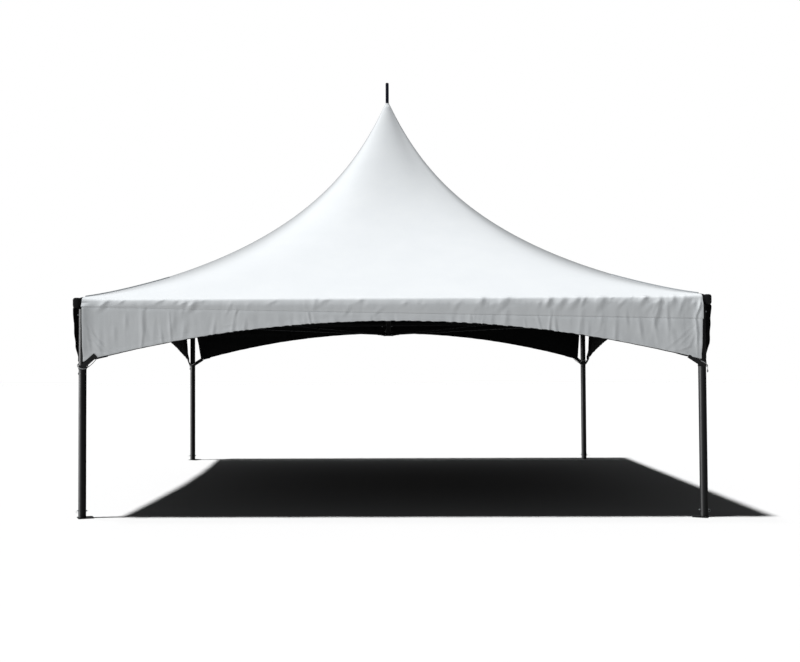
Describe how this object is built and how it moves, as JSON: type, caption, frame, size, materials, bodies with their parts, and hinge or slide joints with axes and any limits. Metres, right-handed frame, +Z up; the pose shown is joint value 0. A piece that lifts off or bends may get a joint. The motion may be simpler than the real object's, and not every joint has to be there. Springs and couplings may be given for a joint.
{
  "type": "high-peak frame marquee tent",
  "caption": "Square marquee tent with a tall concave peaked roof, arched valances, a floating mast on crossed cables, tube legs and base plates.",
  "frame": {"origin": "on the ground under the middle of the tent, half way between the four legs", "axes": "+Z up, +X to the right seen from the front, the front valance towards -Y"},
  "size_m": [6.254, 6.2994, 5.1],
  "materials": {
    "canopy": "white coated polyester tent fabric, satin, with welded seams, a grey shade in its valances and a dark lining face",
    "frame": "dark graphite powder coat on round tube, satin",
    "cable": "dark stranded wire rope with forged fork ends",
    "webbing": "black polyester webbing, matte woven",
    "spire": "navy black painted rod, satin"
  },
  "bodies": {
    "root": {"leg_front_left": "frame", "leg_front_right": "frame", "leg_rear_right": "frame", "leg_rear_left": "frame", "base_plate_front_left": "frame", "base_plate_front_right": "frame", "base_plate_rear_right": "frame", "base_plate_rear_left": "frame", "corner_fitting_front_left": "frame", "corner_fitting_front_right": "frame", "corner_fitting_rear_right": "frame", "corner_fitting_rear_left": "frame", "eave_beam_front_left": "frame", "eave_beam_front_right": "frame", "eave_splice_front": "frame", "eave_beam_right_left": "frame", "eave_beam_right_right": "frame", "eave_splice_right": "frame", "eave_beam_back_left": "frame", "eave_beam_back_right": "frame", "eave_splice_back": "frame", "eave_beam_left_left": "frame", "eave_beam_left_right": "frame", "eave_splice_left": "frame", "mast": "frame", "mast_foot": "frame", "crown_cone": "frame", "spire_rod": "spire", "cable_front_left": "cable", "cable_front_right": "cable", "cable_rear_right": "cable", "cable_rear_left": "cable", "roof_front": "canopy", "roof_right": "canopy", "roof_back": "canopy", "roof_left": "canopy", "valance_front": "canopy", "valance_right": "canopy", "valance_back": "canopy", "valance_left": "canopy", "leg_tie_front_left": "webbing", "leg_tie_front_right": "webbing", "leg_tie_rear_right": "webbing", "leg_tie_rear_left": "webbing"}
  },
  "joints": []
}
